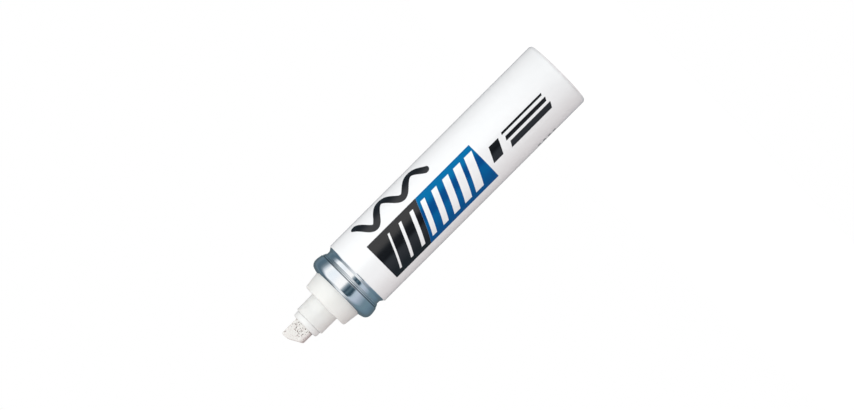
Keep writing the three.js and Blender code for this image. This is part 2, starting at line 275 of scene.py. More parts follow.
class Finish:
    """A material, built node by node."""

    def __init__(self, name, tree=None):
        if tree is None:
            self.material = bpy.data.materials.new(name)
            self.material.use_nodes = True
            tree = self.material.node_tree
        self.tree = tree
        self.tree.nodes.clear()

    def node(self, kind, settings=None, sockets=None, output=0):
        """Adds a node with its settings, such as a colour ramp's stops, and what goes into its sockets."""
        made = self.tree.nodes.new("ShaderNode" + kind)
        for name, value in (settings or {}).items():
            if name == "stops":
                ramp = made.color_ramp.elements
                ramp[0].position, ramp[0].color = value[0]
                ramp[1].position, ramp[1].color = value[-1]
                for position, colour in value[1:-1]:
                    ramp.new(position).color = colour
            else:
                setattr(made, name, value)
        for name, value in (sockets or {}).items():
            if isinstance(value, Signal):
                self.tree.links.new(value.socket, made.inputs[name])
            else:
                made.inputs[name].default_value = value
        return Signal(self, made.outputs[output]) if made.outputs else None

    def place(self):
        """The point on the piece, in metres."""
        return self.node("TexCoord", output="Object")

    def coordinates(self):
        """The point on the piece as three signals, in millimetres."""
        split = self.node("SeparateXYZ", sockets={0: self.place()})
        return [Signal(self, s) / MM for s in split.socket.node.outputs]

    def stretched(self, across, along):
        """The point with one scale across the marker's axis and one along it, in cycles a millimetre."""
        scale = (across / MM, across / MM, along / MM)
        return self.node("Mapping", sockets={"Vector": self.place(), "Scale": scale})

    def noise(self, where, detail=2.0, roughness=0.5):
        return self.node("TexNoise", sockets={
            "Vector": where, "Scale": 1.0, "Detail": detail, "Roughness": roughness})

    def spread(self, signal, span, onto=(0.0, 1.0)):
        """The signal's values between the two ends of span, stretched onto another span and held there."""
        return self.node("MapRange", sockets={
            "Value": signal, "From Min": span[0], "From Max": span[1],
            "To Min": onto[0], "To Max": onto[1]})

    def blend(self, share, first, second):
        """From the first colour to the second as share goes from 0 to 1."""
        return self.node("Mix", {"data_type": "RGBA"}, {
            0: share, 6: self.colour(first), 7: self.colour(second)}, output=2)

    @staticmethod
    def colour(value):
        return value if isinstance(value, Signal) else (*value, 1.0)

    def bump(self, height, depth, under=None):
        """Relief from a height signal, depth millimetres from its lowest to its highest."""
        sockets = {"Height": height, "Strength": 1.0, "Distance": depth * MM}
        if under is not None:
            sockets["Normal"] = under
        return self.node("Bump", sockets=sockets)

    def shader(self, **sockets):
        """A surface. An underscore in a name is a space in the socket's."""
        named = {name.replace("_", " "): value for name, value in sockets.items()}
        named["Base Color"] = self.colour(named["Base Color"])
        return self.node("BsdfPrincipled", sockets=named)

    def matt(self, grey):
        return self.node("BsdfDiffuse", sockets={"Color": (grey, grey, grey, 1)})

    def glow(self, colour, strength=1.0):
        return self.node("Emission", sockets={"Color": self.colour(colour), "Strength": strength})

    def mixed(self, share, first, second):
        """From the first shader to the second as share goes from 0 to 1."""
        return self.node("MixShader", sockets={0: share, 1: first, 2: second})

    def closed(self, shader):
        """The finished material."""
        self.node("OutputMaterial", sockets={"Surface": shader})
        return self.material

    def surface(self, **sockets):
        return self.closed(self.shader(**sockets))


# Print on the can, laid out in millimetres round the can and up it

INK_BLEED = 0.07
SKIN = (CAN_RADIUS - 0.1, CAN_RADIUS - 0.05)  # from bare metal to lacquer, out from the axis
WAVE_FROM, WAVE_TO = 74.5, 45.8
WAVE_MIDDLE = -9.2
WAVE_SWING = 3.1
WAVE_FADE = 0.4  # the share of its swing that it loses
WAVE_STEADY = 8  # how far it runs before it fades
WAVE_LENGTH = 11.6
WAVE_STROKE = 2.35
NEAREST_STEPS = 3
PANEL_FROM, PANEL_TO = 74.5, 33.4
PANEL_LEFT, PANEL_RIGHT = -3.55, 10.2
PANEL_MIDDLE = (PANEL_LEFT + PANEL_RIGHT) / 2
PANEL_LEAN = 0.42
PANEL_SPLIT = 57.8
STRIPES = 8
STRIPE_FROM = 71.8
STRIPE_PITCH = 4.55
STRIPE_THINNEST = 0.7
STRIPE_GROWTH = 0.33  # from one stripe to the next
STRIPE_MARGIN = 1.75
SAMPLE_FROM, SAMPLE_TO = 24.6, 8.5
SAMPLES = ((0.9, 0.35), (2.75, 0.6), (5.15, 0.95))  # place round the can, and half the thickness
SAMPLE_LEAN = 0.5
NIB_SIGN = (3.3, 29.0, 2.3, 1.9)  # place round the can, height, half the width and half the length
NIB_SIGN_LEAN = 0.45
TICKS = (18.6, 16.6, 14.6, 12.6)
TICK_PLACE = 14.6
TICK_HALVES = (0.35, 0.5)


class Print:
    """Shapes on the can's skin, as masks from 0 to 1. A shape is drawn by its depth inside its outline."""

    def __init__(self, finish):
        self.finish = finish
        x, y, self.up = finish.coordinates()
        self.round = (-x).angle_over(-y) * CAN_RADIUS
        self.outside = finish.spread(x.distance(y), SKIN)

    def inked(self, depth):
        return (depth / INK_BLEED + 0.5).held() * self.outside

    def band(self, signal, low, high):
        """Depth inside a band of the signal."""
        return (high - low) / 2 - abs(signal - (low + high) / 2)

    def block(self, around, up, half_around, half_up, lean=0.0):
        leaning = self.up - lean * (self.round - around)
        return self.band(self.round, around - half_around, around + half_around).at_most(
            self.band(leaning, up - half_up, up + half_up))

    def wave(self):
        """A round-ended stroke that swings less and less. A few steps find the nearest point of its line."""
        pace = 2 * math.pi / WAVE_LENGTH
        whole_run = WAVE_FROM - WAVE_TO
        run = WAVE_FROM - self.up
        across = self.round - WAVE_MIDDLE
        swing = WAVE_SWING * (1 - WAVE_FADE * self.finish.spread(run, (WAVE_STEADY, whole_run)))

        def line(along):
            return (along * pace - math.pi / 2).math("SINE") * swing

        nearest = run
        for _ in range(NEAREST_STEPS):
            slope = (nearest * pace - math.pi / 2).math("COSINE") * swing * pace
            miss = run - nearest + slope * (across - line(nearest))
            nearest = nearest + miss / (slope * slope + 1)
        nearest = nearest.at_least(WAVE_STROKE / 2).at_most(whole_run - WAVE_STROKE / 2)
        return WAVE_STROKE / 2 - (run - nearest).distance(across - line(nearest))

    def panel(self):
        return self.block(PANEL_MIDDLE, (PANEL_FROM + PANEL_TO) / 2,
                          (PANEL_RIGHT - PANEL_LEFT) / 2, (PANEL_FROM - PANEL_TO) / 2)

    def leaning(self):
        """Height up the can, on lines that lean as the panel's stripes do."""
        return self.up - PANEL_LEAN * (self.round - PANEL_MIDDLE)

    def stripes(self):
        """White stripes across the panel, each broader than the one before."""
        run = (STRIPE_FROM - self.leaning()) / STRIPE_PITCH
        number = run.math("FLOOR")
        half = (number * STRIPE_GROWTH + STRIPE_THINNEST) / 2
        across = half - abs(run - number - 0.5) * STRIPE_PITCH
        inside = self.band(self.round, PANEL_LEFT + STRIPE_MARGIN, PANEL_RIGHT - STRIPE_MARGIN)
        counted = self.band(run, 0, STRIPES) * STRIPE_PITCH
        return across.at_most(inside).at_most(counted)

    def samples(self):
        """Three lines of growing thickness, the sign of a chisel nib, and a row of ticks."""
        middle = (SAMPLE_FROM + SAMPLE_TO) / 2
        half = (SAMPLE_FROM - SAMPLE_TO) / 2
        whole = self.block(*NIB_SIGN, lean=NIB_SIGN_LEAN)
        for around, half_thick in SAMPLES:
            whole = whole.at_least(self.block(around, middle, half_thick, half, lean=SAMPLE_LEAN))
        for height in TICKS:
            whole = whole.at_least(self.block(TICK_PLACE, height, *TICK_HALVES))
        return whole

    def masks(self):
        """(black ink, blue ink)."""
        bare = self.inked(self.stripes())
        panel = self.inked(self.panel()) * (1 - bare)
        black_side = self.inked(self.leaning() - PANEL_SPLIT)
        strokes = self.inked(self.wave()).at_least(self.inked(self.samples()))
        return strokes.at_least(panel * black_side), panel * (1 - black_side)


# Colours. Where there are two, the finish varies from the one to the other.
WHITE_LACQUER = ((0.885, 0.885, 0.89), (0.868, 0.868, 0.873))
BLACK_INK = (0.0055, 0.0048, 0.006)
BLUE_INK = (0.004, 0.061, 0.25)
BLUE_INK_GLOSS = (0.0, 0.67, 1.0, 1.0)
CAN_INSIDE = (0.72, 0.73, 0.74)
ALUMINIUM = ((0.92, 0.925, 0.93), (0.88, 0.89, 0.9))
# painted shade for the ring's two scores
PAINTED_SCORE_SHADE = (0.09, 0.13, 0.15)
WHITE_PLASTIC = ((0.812, 0.803, 0.776), (0.792, 0.783, 0.756))
PALE_SLEEVE = ((0.83, 0.825, 0.81), (0.8, 0.795, 0.78))
FELT = ((0.83, 0.815, 0.785), (0.72, 0.695, 0.665))
FELT_SPECKS = (0.62, 0.54, 0.52)
# painted shade on the nib's -X side, which faces away from the softbox
FELT_PAINTED_SHADE = (0.5, 0.43, 0.42)
# painted shade in the nib's open pores
PAINTED_PORE_SHADE = (0.17, 0.125, 0.115)
BLACK_RUBBER = ((0.021, 0.021, 0.023), (0.03, 0.03, 0.032))
ACETAL = ((0.66, 0.675, 0.65), (0.6, 0.615, 0.59))
SPRING_STEEL = ((0.55, 0.56, 0.57), (0.42, 0.425, 0.43))
BALL_STEEL = ((0.76, 0.77, 0.79), (0.66, 0.67, 0.69))

DISH_SKIN = (DISH_DEPTH + 0.35, DISH_DEPTH + 0.4)  # from lacquer to bare metal, going up inside the wall
PAINTED_SCORE_SHADE_BANDS = ((HEEL_SCORE, 0.7), (FINE_SCORE, 0.3))  # painted shade along a score: height, and how much of it is dark
PAINTED_SCORE_SHADE_REACH = (0.05, 0.14)  # from a score's middle, where its painted shade starts to fade and where it ends
FELT_SHADE_REACH = (-1.3, -2.1)  # painted shade on the nib toward -X, the side away from the softbox


def white_lacquer():
    """Baked lacquer, rubbed in places, with print on it. The gloss of the blue ink is tinted."""
    finish = Finish("white_lacquer")
    drawing = Print(finish)
    black, blue = drawing.masks()
    rub = finish.noise(finish.stretched(across=0.35, along=0.08), detail=4, roughness=0.6)
    peel = finish.noise(finish.stretched(across=0.9, along=0.7), detail=1)
    colour = finish.blend(finish.spread(rub, (0.35, 0.75)), *WHITE_LACQUER)
    colour = finish.blend(black, colour, BLACK_INK)
    inner = (1 - drawing.outside) * finish.spread(drawing.up, DISH_SKIN)
    colour = finish.blend(inner, colour, CAN_INSIDE)
    inked = black.at_least(blue)
    roughness = finish.spread(rub, (0.3, 0.8), (0.13, 0.2)) + inked * 0.03
    relief = finish.bump(peel, depth=0.004)
    relief = finish.bump(inked, depth=0.006, under=relief)
    glossy = finish.shader(Base_Color=colour, Roughness=roughness, Metallic=inner, Normal=relief, IOR=1.55)
    blue_ink = finish.shader(Base_Color=BLUE_INK, Roughness=roughness, Normal=relief, IOR=2.25,
                             Specular_Tint=BLUE_INK_GLOSS)
    return finish.closed(finish.mixed(blue, glossy, blue_ink))


def bare_aluminium():
    """Bright metal with fine turning lines, and painted shade that darkens its two scores."""
    finish = Finish("bare_aluminium")
    lines = finish.noise(finish.stretched(across=0.05, along=9.0), detail=3, roughness=0.7)
    cloud = finish.noise(finish.stretched(across=0.25, along=0.3), detail=3)
    colour = finish.blend(finish.spread(cloud, (0.35, 0.7)), *ALUMINIUM)
    up = finish.coordinates()[2]
    # painted shade along each of the two scores
    for height, share in PAINTED_SCORE_SHADE_BANDS:
        dark = finish.spread(abs(up - height), PAINTED_SCORE_SHADE_REACH, (share, 0.0))
        colour = finish.blend(dark, colour, PAINTED_SCORE_SHADE)
    return finish.surface(Base_Color=colour, Metallic=1.0,
                          Roughness=finish.spread(lines, (0.3, 0.75), (0.06, 0.13)),
                          Normal=finish.bump(lines, depth=0.0035))


def moulded(name, colours, roughness, relief=0.006, **sockets):
    """Moulded plastic or rubber: a faint mottle, and a fine texture that the mould leaves."""
    finish = Finish(name)
    mottle = finish.noise(finish.stretched(across=0.22, along=0.12), detail=3, roughness=0.6)
    grain = finish.noise(finish.stretched(across=3.5, along=3.5), detail=2)
    return finish.surface(Base_Color=finish.blend(finish.spread(mottle, (0.35, 0.7)), *colours),
                          Roughness=finish.spread(mottle, (0.3, 0.8), (roughness, roughness + 0.1)),
                          Normal=finish.bump(grain, depth=relief), **sockets)


def nib_felt():
    """Pressed fibre. Its open pores are in the mesh, and an attribute says how deep in one each point is,
    which sets a painted shade there.
    """
    finish = Finish("nib_felt")
    pore = finish.node("Attribute", {"attribute_name": "pore"}, output="Fac")
    fibre = finish.noise(finish.stretched(across=9.0, along=1.6), detail=4, roughness=0.75)
    speck = finish.noise(finish.stretched(across=2.6, along=1.9), detail=2)
    # painted shade toward -X, its edge broken up by the specks
    painted_side_shade = finish.spread(finish.coordinates()[0] + speck * 1.1, FELT_SHADE_REACH, (0.0, 0.8))
    colour = finish.blend(finish.spread(fibre, (0.3, 0.75)), *FELT)
    colour = finish.blend(finish.spread(speck, (0.5, 0.7), (0.0, 0.75)), colour, FELT_SPECKS)
    colour = finish.blend(painted_side_shade, colour, FELT_PAINTED_SHADE)
    # painted shade in the pores, darker the deeper a point lies in one
    colour = finish.blend(pore, colour, PAINTED_PORE_SHADE)
    return finish.surface(Base_Color=colour, Roughness=finish.spread(fibre, (0.2, 0.8), (0.8, 0.95)),
                          Normal=finish.bump(fibre, depth=0.03), Sheen_Weight=0.15)


def drawn_wire():
    finish = Finish("spring_steel")
    lines = finish.noise(finish.stretched(across=2.0, along=14.0), detail=3, roughness=0.7)
    return finish.surface(Base_Color=finish.blend(finish.spread(lines, (0.3, 0.7)), *SPRING_STEEL),
                          Metallic=1.0, Roughness=finish.spread(lines, (0.3, 0.8), (0.2, 0.38)),
                          Normal=finish.bump(lines, depth=0.004))


def polished_steel():
    finish = Finish("ball_steel")
    scuffs = finish.noise(finish.stretched(across=0.8, along=0.8), detail=5, roughness=0.75)
    return finish.surface(Base_Color=finish.blend(finish.spread(scuffs, (0.4, 0.7)), *BALL_STEEL),
                          Metallic=1.0, Roughness=finish.spread(scuffs, (0.45, 0.75), (0.05, 0.2)),
                          Normal=finish.bump(scuffs, depth=0.002))


# Shaping

ARC_STEPS = 6
FACET_LIMIT = math.radians(32)
JOIN = 0.0001  # points that are no farther apart are one
LEVEL = 0.001  # heights that differ by less are the same
LEAST_ROUNDING = 0.05


def held(value, low, high):
    return min(max(value, low), high)


def only(kind, parts):
    """The vertices or the edges among the parts of a mesh."""
    return [part for part in parts if isinstance(part, kind)]


def shaped(name, bm, material=None):
    """A new object in the scene from a mesh that is being built."""
    mesh = bpy.data.meshes.new(name)
    bm.to_mesh(mesh)
    bm.free()
    if material:
        mesh.materials.append(material)
    return placed(name, mesh)


def finished(name, bm, material, body, slot, *nodes):
    """Turns a mesh's faces outwards, smooths it between its sharp edges, and hands it to the frame."""
    bmesh.ops.remove_doubles(bm, verts=bm.verts, dist=JOIN * MM)
    bmesh.ops.recalc_face_normals(bm, faces=bm.faces)
    for face in bm.faces:
        face.smooth = True
    for edge in bm.edges:
        edge.smooth = edge.calc_face_angle(0) < FACET_LIMIT
    piece = shaped(name, bm, material)
    evened = piece.modifiers.new("evened", "WEIGHTED_NORMAL")
    evened.keep_sharp = True
    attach(piece, body)
    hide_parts(*nodes)
    return piece


def rounded_off(bm, parts, reach, segments, affect="EDGES"):
    bmesh.ops.bevel(bm, geom=parts, offset=reach * MM, offset_type="OFFSET", affect=affect,
                    segments=segments, profile=0.5, material=-1)


def outline(bm, corners, closed=True):
    """Joins (across, height, rounding) corners into a line in the XZ plane, and rounds them."""
    points = [bm.verts.new((across * MM, 0, height * MM)) for across, height, _ in corners]
    followers = points[1:] + points[:1] if closed else points[1:]
    for point, follower in zip(points, followers):
        bm.edges.new((point, follower))
    for i, (point, (_, _, rounding)) in enumerate(zip(points, corners)):
        if rounding:
            before, after = corners[i - 1], corners[(i + 1) % len(corners)]
            sides = [Vector(c[:2]) - Vector(corners[i][:2]) for c in (before, after)]
            reach = rounding / math.tan(sides[0].angle(sides[1]) / 2)
            rounded_off(bm, [point], reach, ARC_STEPS, affect="VERTICES")
    return bm


def turned(corners, steps=128, closed=True):
    """An outline turned about the marker's axis."""
    bm = outline(bmesh.new(), corners, closed)
    bmesh.ops.spin(bm, geom=bm.verts[:] + bm.edges[:], cent=(0, 0, 0), axis=Z, angle=2 * math.pi,
                   steps=steps, use_merge=True)
    bmesh.ops.remove_doubles(bm, verts=bm.verts, dist=JOIN * MM)
    return bm


def inset(path, distance):
    """The path moved to its left, its roundings kept on the same centres."""
    moved = []
    for i, (across, height, rounding) in enumerate(path):
        here = Vector((across, height))
        arriving = (here - Vector(path[i - 1][:2])) if i else Vector(path[1][:2]) - here
        leaving = (Vector(path[i + 1][:2]) - here) if i + 1 < len(path) else arriving
        lefts = [Vector((-d.y, d.x)).normalized() for d in (arriving, leaving)]
        mitre = lefts[0] + lefts[1]
        shift = mitre * (2 * distance / mitre.length_squared)
        side = math.copysign(1, arriving.cross(leaving))
        moved.append((across + shift.x, height + shift.y,
                      max(rounding - side * distance, LEAST_ROUNDING) if rounding else 0))
    return moved


def evened_mesh(bm, voxel):
    """The same solid with small, even faces all over."""
    coarse = shaped("coarse", bm)
    remesh = coarse.modifiers.new("even", "REMESH")
    remesh.mode = "VOXEL"
    remesh.voxel_size = voxel * MM
    dense = bmesh.new()
    dense.from_object(coarse, bpy.context.evaluated_depsgraph_get())
    scratch = coarse.data
    bpy.data.objects.remove(coarse)
    bpy.data.meshes.remove(scratch)
    return dense


# Pieces that show

def barrel_can(material):
    shoulder = (CAN_RADIUS - CAN_WALL - NECK_BORE) / 2
    bm = turned([
        (0, DISH_DEPTH, 0),
        (DISH_RADIUS, DISH_DEPTH, 0.6),
        (DISH_RADIUS + DISH_FLANK, 0, 0.5),
        (CAN_RADIUS, 0, BASE_ROUND),
        (CAN_RADIUS, CAN_HEIGHT, 0.06),
        (NECK_RADIUS, CAN_HEIGHT, 0),
        (NECK_RADIUS, RIM_BOTTOM, 0),
        (RIM_RADIUS, RIM_BOTTOM, 0.25),
        (RIM_RADIUS, RIM_TOP, 0.25),
        (NECK_BORE, RIM_TOP, 0),
        (NECK_BORE, CAN_HEIGHT - CAN_WALL, 0),
        (CAN_RADIUS - CAN_WALL, CAN_HEIGHT - CAN_WALL - shoulder, 0.3),
        (CAN_RADIUS - CAN_WALL, CAN_FLOOR, BASE_ROUND),
        (DISH_RADIUS + DISH_FLANK, CAN_FLOOR, 0.3),
        (DISH_RADIUS, INNER_FLOOR, 0.3),
        (0, INNER_FLOOR, 0),
    ], closed=False)
    finished("can", bm, material, "barrel", "white_lacquer", "barrel_can")


# The bead's outside from its crest to the ring's mouth
RING_FRONT = [
    (BEAD_RADIUS, CREST_HEIGHT, 5),
    (BEAD_RADIUS, RING_TOP - 1.55, 1.9),
    (BEAD_RADIUS - 0.85, RING_TOP - 0.48, 1.6),
    (SKIRT_REAR_RADIUS + MOUTH_GAP, RING_TOP, 0),
]


def crimp_ring(material):
    """Bent sheet, with two fine scores that the crimping rollers leave below the bead."""
    groove = [
        (RING_EDGE_RADIUS, CAN_HEIGHT + SEAT_GAP, 0),
        (RING_EDGE_RADIUS, GROOVE_START, 0.15),
        (GROOVE_RADIUS + 0.02, GROOVE_FLOOR, 0.7),
        (GROOVE_RADIUS, LEDGE_BOTTOM - 0.3, 0.3),
    ]
    heel = (HEEL_RADIUS, HEEL_HEIGHT, 0.2)
    outside = [
        *groove,
        (LEDGE_RADIUS - 0.15, LEDGE_BOTTOM - 0.17, 0.05),
        (LEDGE_RADIUS + 0.02, FINE_SCORE - 0.05, 0.03),
        (LEDGE_RADIUS - 0.05, FINE_SCORE, 0.03),
        (LEDGE_RADIUS + 0.06, FINE_SCORE + 0.05, 0.03),
        (LEDGE_RADIUS + 0.26, HEEL_SCORE - 0.14, 0.02),
        (LEDGE_RADIUS + 0.06, HEEL_SCORE, 0.02),
        heel,
        *RING_FRONT,
    ]
    inside = inset([*groove, (LEDGE_RADIUS, LEDGE_BOTTOM, 0.3), heel, *RING_FRONT], RING_SHEET)
    bm = turned([*outside, *reversed(inside)], steps=160)
    finished("ring", bm, material, "barrel", "bare_aluminium", "crimp_ring")


def crimp_gasket(material):
    bore = PLUG_RADIUS + 0.15
    bm = turned([
        (bore, GASKET_BOTTOM, 0.1),
        (RIM_RADIUS, GASKET_BOTTOM, 0.15),
        (RIM_RADIUS, GASKET_TOP, 0.15),
        (bore, GASKET_TOP, 0.1),
    ], steps=96)
    finished("gasket", bm, material, "barrel", "black_rubber", "crimp_gasket")


def nib_holder(material):
    """One moulding, outside from the plug to the neck tube and then back down its bore to the socket."""
    plug_bore = PLUG_RADIUS - PLUG_WALL
    pocket_top = FLANGE_TOP - PLUG_WALL
    socket_tube = SOCKET_RADIUS + SOCKET_WALL
    chamber = (VALVE_RADIUS + VALVE_BORE) / 2
    chamber_top = SKIRT_TOP - SKIRT_TOP_WALL
    _, flange_shoulder, flange_brow, _ = inset(RING_FRONT, RING_SHEET + SEAT_GAP)
    bm = turned([
        (PLUG_RADIUS, HOLDER_REAR, 0.4),
        (PLUG_RADIUS, FLANGE_BOTTOM, 0),
        (FLANGE_RADIUS, FLANGE_BOTTOM, 0.1),
        flange_shoulder,
        flange_brow,
        (SKIRT_REAR_RADIUS, FLANGE_TOP, 0),
        (SKIRT_FRONT_RADIUS, SKIRT_TOP, 0.65),
        (NECK_TUBE_RADIUS, SKIRT_TOP, 0.3),
        (NECK_TUBE_RADIUS, NECK_TOP, 0.3),
        (NECK_TUBE_BORE, NECK_TOP, 0.08),
        (NECK_TUBE_BORE, chamber_top, 0),
        (chamber, chamber_top - (chamber - NECK_TUBE_BORE), 0),
        (chamber, SOCKET_TOP, 0),
        (SOCKET_RADIUS, SOCKET_TOP, 0),
        (SOCKET_RADIUS, HOLDER_REAR, 0.2),
        (socket_tube, HOLDER_REAR, 0.2),
        (socket_tube, pocket_top, 0.3),
        (plug_bore, pocket_top, 0.3),
        (plug_bore, HOLDER_REAR, 0.2),
    ])
    finished("holder", bm, material, "barrel", "white_plastic", "nib_holder")


def rounded_rectangle(bm, width, depth, rounding, height):
    """A loop across the marker's axis, turned as the nib is. Its sides are cut up, to be bridged evenly."""
    line = bmesh.new()
    x, y = width / 2, depth / 2
    outline(line, [(-x, -y, rounding), (x, -y, rounding), (x, y, rounding), (-x, y, rounding)])
    sides = [e for e in line.edges if e.calc_length() > 2 * rounding * MM]
    bmesh.ops.subdivide_edges(line, edges=sides, cuts=10)
    lie_down = Matrix.Rotation(NIB_TURN, 4, "Z") @ Matrix.Rotation(-math.pi / 2, 4, "X")
    bmesh.ops.transform(line, matrix=Matrix.Translation(Z * height * MM) @ lie_down, verts=line.verts)
    scratch = bpy.data.meshes.new("loop")
    line.to_mesh(scratch)
    line.free()
    before = set(bm.edges)
    bm.from_mesh(scratch)
    bpy.data.meshes.remove(scratch)
    return [e for e in bm.edges if e not in before]


def edges_at(bm, height):
    return [e for e in bm.edges if all(abs(v.co.z / MM - height) < LEVEL for v in e.verts)]


def nib_collar(material):
    bm = turned([
        (COLLAR_RADIUS - COLLAR_CHAMFER, COLLAR_REAR, 0),
        (COLLAR_RADIUS, COLLAR_REAR + COLLAR_CHAMFER, 0),
        (COLLAR_RADIUS, LIP_BOTTOM, 0),
        (LIP_RADIUS, LIP_BOTTOM, 0.05),
        (LIP_RADIUS, LIP_TOP, LIP_ROUND - 0.02),
        (LIP_RADIUS - LIP_ROUND, LIP_TOP, 0),
    ], steps=96, closed=False)
    hole = rounded_rectangle(bm, NIB_WIDTH + 2 * SLIDE_GAP, NIB_THICKNESS + 2 * SLIDE_GAP,
                             NIB_HOLE_ROUND, LIP_TOP)
    sunk = bmesh.ops.extrude_edge_only(bm, edges=hole)
    wall = only(bmesh.types.BMVert, sunk["geom"])
    bmesh.ops.translate(bm, vec=Z * (COLLAR_REAR - LIP_TOP) * MM, verts=wall)
    for height in (LIP_TOP, COLLAR_REAR):
        bmesh.ops.bridge_loops(bm, edges=[e for e in edges_at(bm, height) if len(e.link_faces) < 2])
    rim = [e for e in edges_at(bm, LIP_TOP)
           if any(abs(f.normal.z) < 0.5 for f in e.link_faces)
           and max(v.co.xy.length for v in e.verts) < (NIB_HOLE_REACH + SLIDE_GAP) * MM]
    rounded_off(bm, rim, NIB_HOLE_EDGE, segments=3)
    finished("collar", bm, material, "barrel", "pale_sleeve", "nib_collar")


# The nib's surface
WORN_EDGE = 1.3  # rounding of the long edge at the front left, where the nib is worn
NIB_VOXEL = 0.085
PORE_SPACING = 0.41
PORE_STRETCH = 0.8
PORE_SIZE, PORE_SIZE_CHANGE = 0.335, 0.13  # radius of a pore, in spacings
PORE_FLANK = 0.12  # in spacings too
PORE_DEPTH = 0.16
PORES_END = LIP_TOP + 4.0
PORES_FADE = 1.6  # below the end, how far it takes for most pores to be open
FEWEST_OPEN, MOST_OPEN = 0.008, 0.92
OPEN_SCATTER, SIZE_SCATTER = 7.3, 3.1  # unlike scales, so that size and openness don't go together
FIBRE_DEPTH = 0.018
FIBRE_WIDTH, FIBRE_LENGTH = 0.16, 1.4


def pore_at(point):
    """How deep in a pore a point is, from 0 to 1. Near the collar most pores are open, at the tip few."""
    place = Vector((point.x, point.y, point.z * PORE_STRETCH)) / (PORE_SPACING * MM)
    distances, centres = noise.voronoi(place)
    open_share = held((PORES_END - point.z / MM) / PORES_FADE, FEWEST_OPEN, MOST_OPEN)
    if (noise.cell(centres[0] * OPEN_SCATTER) + 1) / 2 >= open_share:
        return 0.0
    size = PORE_SIZE + PORE_SIZE_CHANGE * noise.noise(centres[0] * SIZE_SCATTER)
    return held((size - distances[0]) / PORE_FLANK, 0.0, 1.0)


def chisel_nib(material):
    """A bar of pressed fibre with a slanting end, its edges rounded and its pores sunk into the surface."""
    half = NIB_WIDTH / 2
    drop = (NIB_WIDTH - NIB_BLUNT) * math.tan(NIB_SLANT)
    bm = outline(bmesh.new(), [
        (-half, NIB_REAR, NIB_CORNER),
        (half, NIB_REAR, NIB_CORNER),
        (half, NIB_TIP, NIB_CORNER),
        (half - NIB_BLUNT, NIB_TIP, NIB_SHOULDER),
        (-half, NIB_TIP - drop, NIB_CORNER),
    ])
    face = bmesh.ops.contextual_create(bm, geom=bm.edges[:])["faces"]
    bmesh.ops.translate(bm, vec=(0, -NIB_THICKNESS / 2 * MM, 0), verts=bm.verts)
    deep = bmesh.ops.extrude_face_region(bm, geom=face)
    bmesh.ops.translate(bm, vec=(0, NIB_THICKNESS * MM, 0), verts=only(bmesh.types.BMVert, deep["geom"]))
    worn = [e for e in bm.edges if e.calc_length() / MM > NIB_THICKNESS + LEVEL
            and all(v.co.x / MM < LEVEL - half and v.co.y < 0 for v in e.verts)]
    rounded_off(bm, worn, WORN_EDGE, segments=6)
    rims = [e for e in bm.edges if e.calc_face_angle(0) > FACET_LIMIT]
    rounded_off(bm, rims, NIB_EDGE, segments=5)
    bmesh.ops.rotate(bm, cent=(0, 0, 0), matrix=Matrix.Rotation(NIB_TURN, 3, "Z"), verts=bm.verts)
    bmesh.ops.recalc_face_normals(bm, faces=bm.faces)
    dense = evened_mesh(bm, NIB_VOXEL)
    pores = dense.verts.layers.float.new("pore")
    dense.normal_update()
    for vert in dense.verts:
        depth = pore_at(vert.co)
        x, y, z = vert.co / MM
        thread = noise.noise(Vector((x / FIBRE_WIDTH, y / FIBRE_WIDTH, z / FIBRE_LENGTH)))
        vert[pores] = depth
        vert.co -= vert.normal * (depth * PORE_DEPTH + (0.5 + thread) * FIBRE_DEPTH) * MM
        vert.co.z = held(vert.co.z, NIB_REAR * MM, NIB_TIP * MM)
    finished("nib", dense, material, "nib", "nib_felt", "chisel_nib")


# Pieces of the valve

VALVE_STEPS = 96
WINDOW_STEPS = 7  # width of a window in the tube's steps
COIL_STEPS = 40


def valve_body(material):
    """A tube with windows in its wall for the ink, and a ridge that stops it at the socket's mouth."""
    bm = turned([
        (VALVE_RADIUS, VALVE_REAR, 0.2),
        (VALVE_RADIUS, WINDOW_BOTTOM, 0),
        (VALVE_RADIUS, WINDOW_TOP, 0),
        (VALVE_RADIUS, RIDGE_BOTTOM, 0.1),
        (RIDGE_RADIUS, RIDGE_BOTTOM, 0.2),
        (RIDGE_RADIUS, RIDGE_TOP, 0.2),
        (VALVE_RADIUS, RIDGE_TOP, 0.1),
        (VALVE_RADIUS, VALVE_TOP, 0.3),
        (ROD_HOLE, VALVE_TOP, 0.2),
        (ROD_HOLE, VALVE_CEILING, 0),
        (VALVE_BORE, VALVE_CEILING, 0),
        (VALVE_BORE, WINDOW_TOP, 0),
        (VALVE_BORE, WINDOW_BOTTOM, 0),
        (VALVE_BORE, VALVE_REAR, 0.15),
    ], steps=VALVE_STEPS)
    reach = math.pi * WINDOW_STEPS / VALVE_STEPS
    for number in range(WINDOWS):
        middle = 2 * math.pi * (number + 0.5) / WINDOWS + math.pi / VALVE_STEPS
        toward = Vector((math.cos(middle), math.sin(middle)))
        before = set(bm.edges)
        opened = []
        for face in bm.faces:
            centre = face.calc_center_median()
            if WINDOW_BOTTOM < centre.z / MM < WINDOW_TOP and toward.angle(centre.xy) < reach:
                opened.append(face)
        bmesh.ops.delete(bm, geom=opened, context="FACES")
        rims = [e for e in bm.edges if e in before and e.is_boundary]
        bmesh.ops.bridge_loops(bm, edges=rims)
    finished("valve_tube", bm, material, "barrel", "valve_plastic", "valve_body")


def valve_seal(material):
    outer = VALVE_BORE - PRESS_GAP
    bm = turned([
        (ROD_HOLE, SEAL_BOTTOM, 0.3),
        (outer, SEAL_BOTTOM, 0.1),
        (outer, SEAL_TOP, 0.1),
        (ROD_HOLE, SEAL_TOP, 0.1),
    ], steps=72)
    finished("seal", bm, material, "barrel", "black_rubber", "valve_seal")


